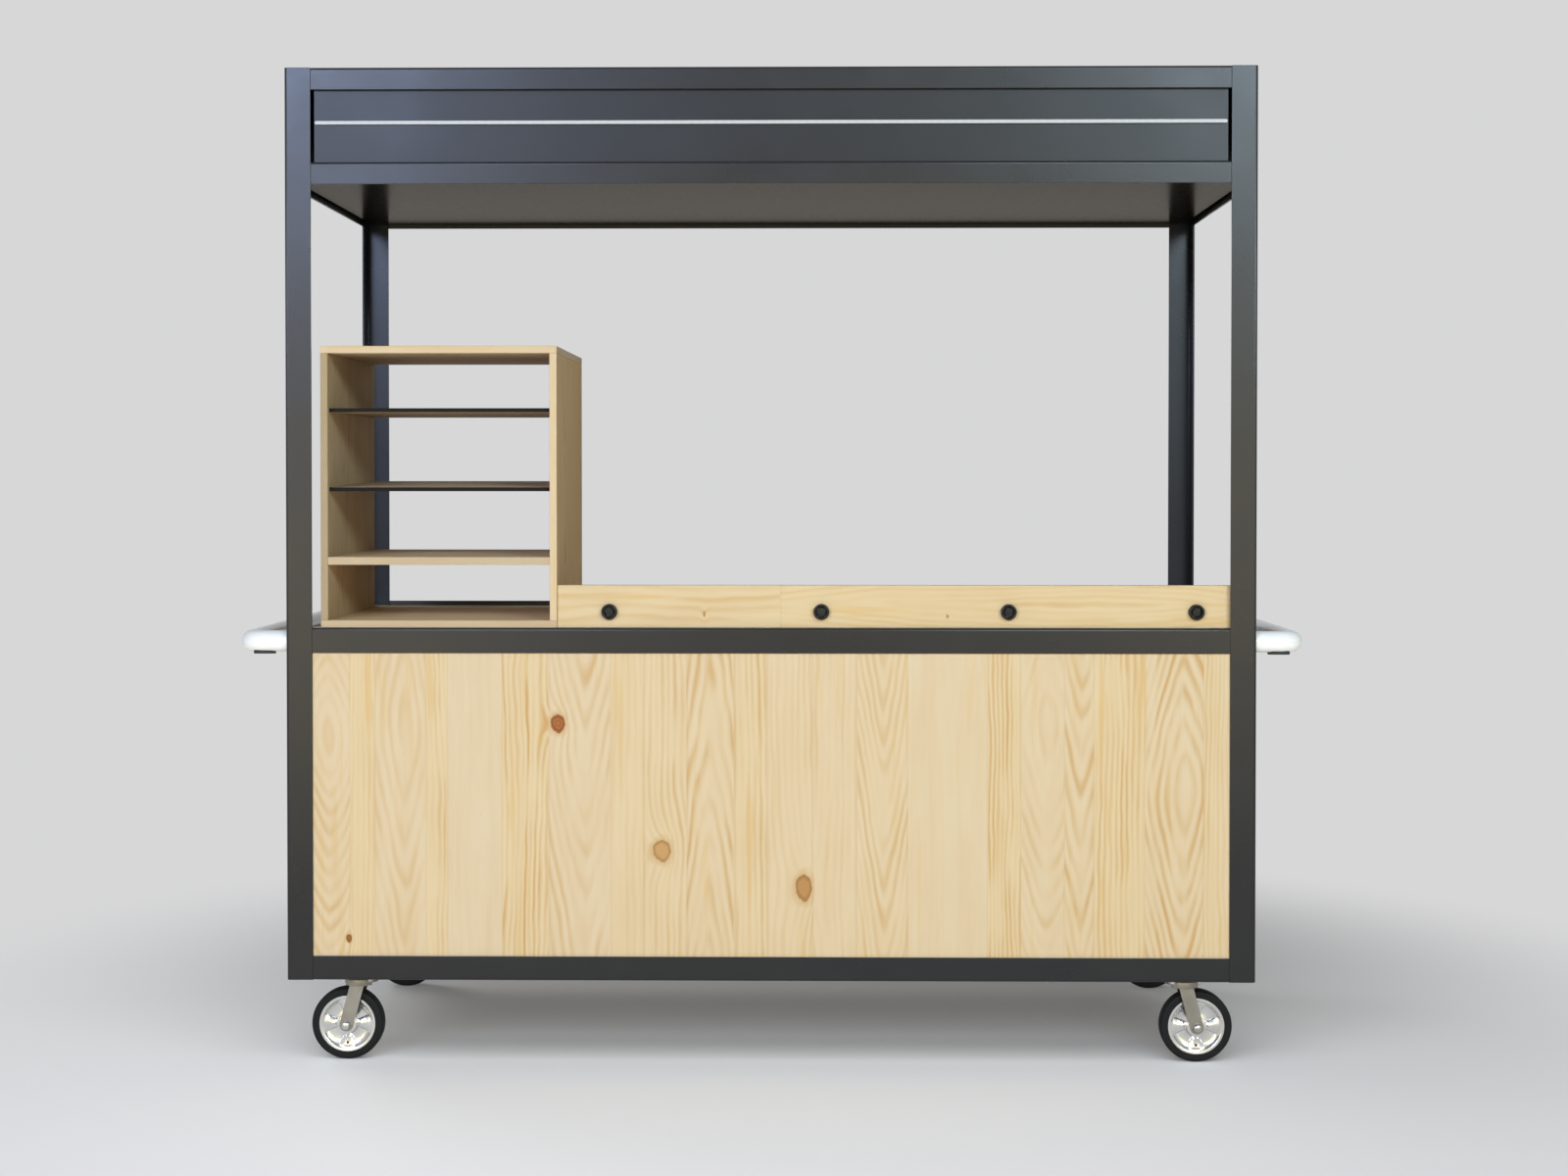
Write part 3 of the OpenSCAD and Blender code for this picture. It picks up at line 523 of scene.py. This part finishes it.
FINISHES = {
    frame_paint: POSTS + RAILS + ["corner_plates"],
    canopy_paint: ["fascia_front", "fascia_back", "fascia_sides", "roof_panel"],
    soffit_sheet: ["soffit_panel"],
    strip_metal: ["led_base"],
    lit_acrylic: ["led_diffuser"],
    pine_front: ["panel_front"],
    pine_back: ["panel_back"],
    pine_ends: ["panel_sides"],
    pine_top: ["worktop"],
    pine_base: ["base_board"],
    pine_upstand: ["upstand"],
    shelf_upright: ["cubby_sides"],
    shelf_level: ["cubby_top"],
    shelf_low: ["cubby_bottom", "cubby_shelf_lower"],
    shelf_thin: ["cubby_shelf_middle", "cubby_shelf_upper"],
    knob_abs: ["upstand_knobs"],
    edge_strip: ["cubby_edging"],
    handle_enamel: ["handle_left", "handle_right"],
    pad_rubber: ["handle_pads"],
    castor_paint: ["castor_plates"],
    zinc_steel: FORKS,
    rim_metal: [f"rim_{corner}" for corner in CORNERS],
    tyre_rubber: [f"tyre_{corner}" for corner in CORNERS],
}
for finish, names in FINISHES.items():
    for name in names:
        nodes[name].data.materials.clear()
        nodes[name].data.materials.append(finish)

# Folded and sawn edges are eased, which also draws the fine seams where rails meet posts
EASED = {
    1.0 * MM: POSTS + RAILS,
    1.2 * MM: [
        "panel_front", "panel_back", "panel_sides", "upstand", "cubby_sides", "cubby_top", "cubby_bottom",
        "cubby_shelf_lower", "cubby_shelf_middle", "cubby_shelf_upper",
    ],
    0.6 * MM: FORKS + ["castor_plates"],
}
for width, names in EASED.items():
    for name in names:
        weld = nodes[name].modifiers.new("weld", "WELD")
        weld.merge_threshold = 0.01 * MM
        ease = nodes[name].modifiers.new("eased edges", "BEVEL")
        ease.width = width
        ease.segments = 2
        ease.limit_method = "ANGLE"
        ease.angle_limit = math.radians(40)
        # Sliding along the fold's facets would throw spikes off the rails' ends
        ease.loop_slide = False


# ---- Making pieces ----


def piece(name, vertices, faces, finishes, body, face_finish=None):
    """Mesh object in the cart's frame that rides on a body. face_finish gives each face's finish number.
    Faces are smooth except across edges sharper than 35 degrees."""
    mesh = bpy.data.meshes.new(name)
    mesh.from_pydata([tuple(vertex) for vertex in vertices], [], faces)
    for finish in finishes:
        mesh.materials.append(finish)
    if face_finish:
        mesh.polygons.foreach_set("material_index", face_finish)
    mesh.polygons.foreach_set("use_smooth", [True] * len(mesh.polygons))
    mesh.validate()
    mesh.set_sharp_from_angle(angle=math.radians(35))
    made = bpy.data.objects.new(name, mesh)
    scene.collection.objects.link(made)
    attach(made, body)
    return made


def turned(profile, place, sides=48, swell=None):
    """Vertices and faces of a closed turned solid. profile is (radius, height) from the axis on one face to
    the axis or bore on the other; place is the matrix from the lathe's axis to the cart. swell changes a
    height by its radius and angle."""
    vertices, faces = [], []
    rings = len(profile)
    for i in range(sides):
        angle = math.tau * i / sides
        for radius, height in profile:
            level = height + (swell(radius, height, angle) if swell else 0.0)
            vertices.append(place @ Vector((radius * math.cos(angle), radius * math.sin(angle), level)))
    for i in range(sides):
        j = (i + 1) % sides
        for k in range(rings - 1):
            faces.append((i * rings + k, j * rings + k, j * rings + k + 1, i * rings + k + 1))
    return vertices, faces


def joined(parts):
    """Vertices, faces and the number of faces in each part, of several parts in one mesh."""
    vertices, faces, counts = [], [], []
    for part_vertices, part_faces in parts:
        start = len(vertices)
        vertices += part_vertices
        faces += [tuple(start + index for index in face) for face in part_faces]
        counts.append(len(part_faces))
    return vertices, faces, counts


def centre(name):
    """Middle of a node's box."""
    low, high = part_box(name)
    return (low + high) / 2


# ---- Knobs on the upstand ----


def knobs():
    """Black rings with a charcoal centre, pressed into the upstand."""
    low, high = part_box("upstand_knobs")
    radius = (high.z - low.z) / 2
    proud = high.y - low.y
    groups = []
    for x in sorted(vertex.co.x for vertex in nodes["upstand_knobs"].data.vertices):
        if not groups or x - groups[-1][-1] > radius:
            groups.append([])
        groups[-1].append(x)
    ring = [
        (0.60, 0.45), (0.66, 0.80), (0.72, 0.94), (0.82, 1.0), (0.92, 0.94), (0.985, 0.78), (1.0, 0.6),
        (1.0, 0.0), (0.60, 0.0), (0.60, 0.45),
    ]
    cap = [(0.0, 0.66), (0.40, 0.66), (0.50, 0.62), (0.54, 0.52), (0.54, 0.05), (0.0, 0.05)]
    parts = []
    for group in groups:
        middle = Vector(((group[0] + group[-1]) / 2, high.y, (high.z + low.z) / 2))
        place = Matrix.Translation(middle) @ Matrix.Rotation(math.pi / 2, 4, "X")
        for profile in (ring, cap):
            parts.append(turned([(r * radius, h * proud) for r, h in profile], place))
    vertices, faces, counts = joined(parts)
    finish = [number for k, count in enumerate(counts) for number in [k % 2] * count]
    made = piece("knob_rings", vertices, faces, [knob_abs, cap_abs], "cart", finish)
    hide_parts("upstand_knobs")


knobs()


# ---- Castors ----

RIBS = 4
RIB_START = 0.34  # of the rim's radius
RIB_STOP = 0.88
RIB_RISE = 5.5 * MM
PLATE_T = 5 * MM  # thickness of the top plate
TRAIL = 26 * MM  # from the swivel's axis to the axle
BOLTS_X = 28 * MM  # from the swivel's axis to the bolts
BOLTS_Y = 40 * MM
WASHER_T = 1.5 * MM
CAP_R = 8 * MM
CAP_H = 3.4 * MM


def wheel_place(corner):
    """Matrix from a lathe's axis to the wheel's axle, with the lathe's +Z towards the front."""
    return Matrix.Translation(centre(f"tyre_{corner}")) @ Matrix.Rotation(math.pi / 2, 4, "X")


def rims():
    """Polished rims: a deep dish with four broad ribs between the hub and the lip."""
    for corner in CORNERS:
        low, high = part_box(f"rim_{corner}")
        outer = (high.z - low.z) / 2
        hub = (high.y - low.y) / 2
        lip = 0.75 * hub
        bore = 6.05 * MM  # just clears the axle
        face = [
            (bore, hub - 0.6 * MM), (bore + 0.6 * MM, hub), (0.30 * outer, hub),
            (0.33 * outer, hub - 0.8 * MM), (0.34 * outer, hub - 3 * MM), (0.355 * outer, 0.50 * hub),
            (0.40 * outer, 0.38 * hub),
            (0.45 * outer, 0.36 * hub), (0.50 * outer, 0.35 * hub), (0.55 * outer, 0.35 * hub),
            (0.60 * outer, 0.36 * hub), (0.65 * outer, 0.37 * hub), (0.70 * outer, 0.39 * hub),
            (0.75 * outer, 0.42 * hub), (0.79 * outer, 0.47 * hub), (0.83 * outer, 0.54 * hub),
            (0.87 * outer, 0.64 * hub), (0.90 * outer, lip - 0.5 * MM), (0.92 * outer, lip),
            (outer - 0.4 * MM, lip), (outer, lip - 0.4 * MM),
        ]
        profile = face + [(r, -h) for r, h in reversed(face)] + [face[0]]

        def ribs(radius, height, angle):
            share = (radius / outer - RIB_START) / (RIB_STOP - RIB_START)
            if not 0 < share < 1:
                return 0.0
            across = max(0.0, math.cos(RIBS * angle)) ** 0.7
            along = min(1.0, 5 * share, 5 * (1 - share))
            return math.copysign(RIB_RISE * across * along, height)

        vertices, faces = turned(profile, wheel_place(corner), 144, ribs)
        made = piece(f"rim_ribbed_{corner}", vertices, faces, [rim_metal], f"wheel_{corner}")
        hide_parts(f"rim_{corner}")


def valves():
    """Short valve stem on the front face of each rim, below the hub."""
    for corner in CORNERS:
        low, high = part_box(f"rim_{corner}")
        outer = (high.z - low.z) / 2
        start = (high.y - low.y) / 2 * 0.5
        place = wheel_place(corner) @ Matrix.Translation((0.0, -0.68 * outer, start))
        stem = [
            (0.0, 0.0), (2.9 * MM, 0.0), (2.9 * MM, 4.5 * MM), (2.1 * MM, 5.2 * MM), (2.1 * MM, 6.4 * MM),
            (1.6 * MM, 7.0 * MM), (0.0, 7.0 * MM),
        ]
        vertices, faces = turned(stem, place, 24)
        piece(f"valve_{corner}", vertices, faces, [pad_rubber], f"wheel_{corner}")


def hex_head(place, across, height):
    """Bolt head with six flats and a turned chamfer."""
    radius = across / 2 / math.cos(math.pi / 6)
    profile = [(0.0, 0.0), (radius, 0.0), (radius, 0.8 * height), (0.9 * radius, height), (0.0, height)]
    return turned(profile, place, 6)


def plain_washer(place, outer, thickness):
    """Flat washer with an eased rim."""
    edge = 0.2 * thickness
    profile = [
        (0.0, 0.0), (outer, 0.0), (outer, thickness - edge), (outer - edge, thickness), (0.0, thickness),
    ]
    return turned(profile, place, 32)


def under_plate(corner):
    """Middle of the underside of a castor's top plate, on the swivel's axis."""
    axle = centre(f"tyre_{corner}")
    inward = 1 if "left" in corner else -1
    return Vector((axle.x + inward * TRAIL, axle.y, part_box("castor_plates")[1].z - PLATE_T))


def plate_bolts(corner):
    """Four bolts with washers under a castor's top plate."""
    swivel = under_plate(corner)
    down = Matrix.Rotation(math.pi, 4, "X")
    parts = []
    for x in (-BOLTS_X, BOLTS_X):
        for y in (-BOLTS_Y, BOLTS_Y):
            spot = Matrix.Translation(swivel + Vector((x, y, 0.0))) @ down
            parts.append(plain_washer(spot, 8 * MM, WASHER_T))
            parts.append(hex_head(spot @ Matrix.Translation((0.0, 0.0, WASHER_T)), 13 * MM, 5 * MM))
    vertices, faces, _ = joined(parts)
    piece(f"plate_bolts_{corner}", vertices, faces, [bolt_steel], "cart")


def race_cover(corner):
    """Pressed cover that hangs from the swivel's upper race and stops just above the fork's crown."""
    cover = [
        (28.2 * MM, 0.0), (32 * MM, -0.6 * MM), (33.2 * MM, -2 * MM), (33.6 * MM, -4.4 * MM),
        (32.8 * MM, -4.4 * MM), (32.2 * MM, -2.2 * MM), (28.2 * MM, -1.6 * MM), (28.2 * MM, 0.0),
    ]
    vertices, faces = turned(cover, Matrix.Translation(under_plate(corner)), 64)
    piece(f"race_cover_{corner}", vertices, faces, [zinc_steel], "cart")


def axle_caps(corner):
    """Domed caps over the two ends of the axle bolt."""
    low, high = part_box(f"fork_{corner}")
    half = (high.y - low.y) / 2
    dome = [(0.0, 0.0), (CAP_R, 0.0)]
    dome += [(CAP_R * math.cos(a), CAP_H * math.sin(a)) for a in (0.2, 0.45, 0.75, 1.05, 1.35)]
    dome.append((0.0, CAP_H))
    parts = []
    for way in (1, -1):
        place = Matrix.Translation(centre(f"tyre_{corner}")) @ Matrix.Rotation(way * math.pi / 2, 4, "X")
        parts.append(turned(dome, place @ Matrix.Translation((0, 0, half)), 40))
    vertices, faces, _ = joined(parts)
    piece(f"axle_caps_{corner}", vertices, faces, [bolt_steel], f"castor_{corner}")


rims()
valves()
for corner in CORNERS:
    plate_bolts(corner)
    race_cover(corner)
    axle_caps(corner)


# ---- Handles ----


def weld_beads():
    """Painted weld bead round each end of the handles, where they meet the posts."""
    parts = []
    for name, side in (("handle_left", -1), ("handle_right", 1)):
        low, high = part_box(name)
        radius = (high.z - low.z) / 2
        post_x = high.x if side < 0 else low.x
        for y in (low.y + radius, high.y - radius):
            spot = Vector((post_x, y, (low.z + high.z) / 2))
            place = Matrix.Translation(spot) @ Matrix.Rotation(side * math.pi / 2, 4, "Y")
            bead = [
                (radius - 0.5 * MM, 0.0), (radius + 1.8 * MM, 0.0), (radius + 1.5 * MM, 1.0 * MM),
                (radius + 0.7 * MM, 1.8 * MM), (radius - 0.2 * MM, 2.2 * MM), (radius - 0.5 * MM, 0.0),
            ]
            parts.append(turned(bead, place, 64))
    vertices, faces, _ = joined(parts)
    piece("handle_weld_beads", vertices, faces, [handle_enamel], "cart")


weld_beads()


# ---- Stage and lights ----

BACKDROP = "#d7d7d8"


def backdrop_rays(tree):
    """1 for the rays that show the backdrop: seen directly, mirrored or through glass."""
    rays = add(tree, "LightPath").node.outputs
    seen = add(tree, "Math", [rays["Is Camera Ray"], rays["Is Glossy Ray"]], operation="MAXIMUM")
    return add(tree, "Math", [seen, rays["Is Transmission Ray"]], operation="MAXIMUM")


def make_floor():
    """Pale matt studio floor that runs into the backdrop's colour away from the cart."""
    material, tree, place = start_material("studio floor, pale matt paint")
    speckle = add(tree, "TexNoise", {"Vector": place, "Scale": 1 / (6 * MM), "Detail": 3.0})
    paint = {0: speckle, 6: linear("#d7d8d9"), 7: linear("#dbdcdc")}
    matt = add(tree, "BsdfDiffuse", [add(tree, "Mix", paint, 2, data_type="RGBA")])
    glow = add(tree, "Emission", [linear(BACKDROP), 1.0])
    distance = add(tree, "VectorMath", [place], "Value", operation="LENGTH")
    # Paint up to 1.25 m from the cart's middle, then more and more backdrop up to 2.5 m
    far = add(tree, "MapRange", [distance, 1.25, 2.5, 0.15, 1.0], interpolation_type="SMOOTHSTEP")
    away = add(tree, "Math", [far, backdrop_rays(tree)], operation="MULTIPLY")
    add(tree, "OutputMaterial", [add(tree, "MixShader", [away, matt, glow])])
    half = 40.0
    outline = [(-half, -half, 0), (half, -half, 0), (half, half, 0), (-half, half, 0)]
    mesh = bpy.data.meshes.new("floor")
    mesh.from_pydata(outline, [], [(0, 1, 2, 3)])
    mesh.materials.append(material)
    floor = bpy.data.objects.new("floor", mesh)
    scene.collection.objects.link(floor)
    return floor


def make_world():
    """Soft light from all round, with the plain backdrop for the rays that show it."""
    world = bpy.data.worlds.new("studio")
    scene.world = world
    world.use_nodes = True
    tree = world.node_tree
    tree.nodes.clear()
    soft = add(tree, "Background", [linear("#f8f6f2"), 0.1])
    backdrop = add(tree, "Background", [linear(BACKDROP), 1.0])
    add(tree, "OutputWorld", [add(tree, "MixShader", [backdrop_rays(tree), soft, backdrop])])


def softbox(name, place, target, size, power, colour, listed, state):
    """Soft lamp at a place that points at a target. Its light reaches only the objects listed when the state
    is INCLUDE, or all but them when it is EXCLUDE."""
    data = bpy.data.lights.new(name, "AREA")
    data.shape = "RECTANGLE"
    data.size, data.size_y = size
    data.energy = power
    data.color = linear(colour)[:3]
    light = bpy.data.objects.new(name, data)
    light.location = place
    light.rotation_euler = (Vector(target) - Vector(place)).to_track_quat("-Z", "Y").to_euler()
    light.visible_camera = False
    scene.collection.objects.link(light)
    receivers = bpy.data.collections.new(f"{name} receivers")
    for number, receiver in enumerate(listed):
        receivers.objects.link(receiver)
        receivers.collection_objects[number].light_linking.link_state = state
    light.light_linking.receiver_collection = receivers


floor = make_floor()
make_world()
# Two broad boxes high at the sides give the posts' tops their cool sheen, two low warm ones their middles.
# The low ones and the fill pass the back posts by, which stand in the shade of the counter and shelves
shaded = [floor, nodes["post_back_left"], nodes["post_back_right"]]
seen_both_ways = ("cubby", "handle", "soffit", "counter", "worktop")
unlit_behind = [floor] + [node for name, node in nodes.items() if name.startswith(seen_both_ways)]
softbox("key_left", (-3.2, -6.2, 3.35), (-0.6, 0.0, 1.6), (3.0, 1.3), 255, "#bfd3ff", [floor], "EXCLUDE")
softbox("key_right", (3.3, -6.2, 3.55), (0.6, 0.0, 1.6), (3.4, 1.3), 285, "#cfe7f6", [floor], "EXCLUDE")
softbox("low_left", (-2.7, -5.7, 0.5), (-0.9, 0.0, 0.8), (2.8, 0.8), 23, "#fbe8b0", shaded, "EXCLUDE")
softbox("low_right", (2.8, -5.7, 0.6), (0.9, 0.0, 0.9), (2.8, 0.7), 14, "#fbe8b0", shaded, "EXCLUDE")
softbox("front_fill", (0.0, -7.8, 1.55), (0.0, 0.0, 1.0), (11.0, 1.7), 95, "#fae6a6", shaded, "EXCLUDE")
# Soft light for the back, kept off what is seen from the front too
softbox("back_fill", (0.0, 5.6, 2.4), (0.0, 0.4, 0.9), (6.0, 2.0), 60, "#f6f5f2", unlit_behind, "EXCLUDE")
# The floor has lamps of its own, so that its paleness adds no light to the cart
softbox("floor_front", (-0.4, -4.6, 1.9), (0.0, -0.6, 0.0), (7.5, 1.5), 178, "#e9f2ff", [floor], "INCLUDE")
softbox("floor_high", (0.2, -3.6, 4.8), (0.0, -0.3, 0.0), (9.0, 3.0), 284, "#fdfeff", [floor], "INCLUDE")
softbox("floor_left", (-3.6, 2.6, 2.4), (-1.2, 0.8, 0.0), (2.5, 1.5), 70, "#fdfeff", [floor], "INCLUDE")
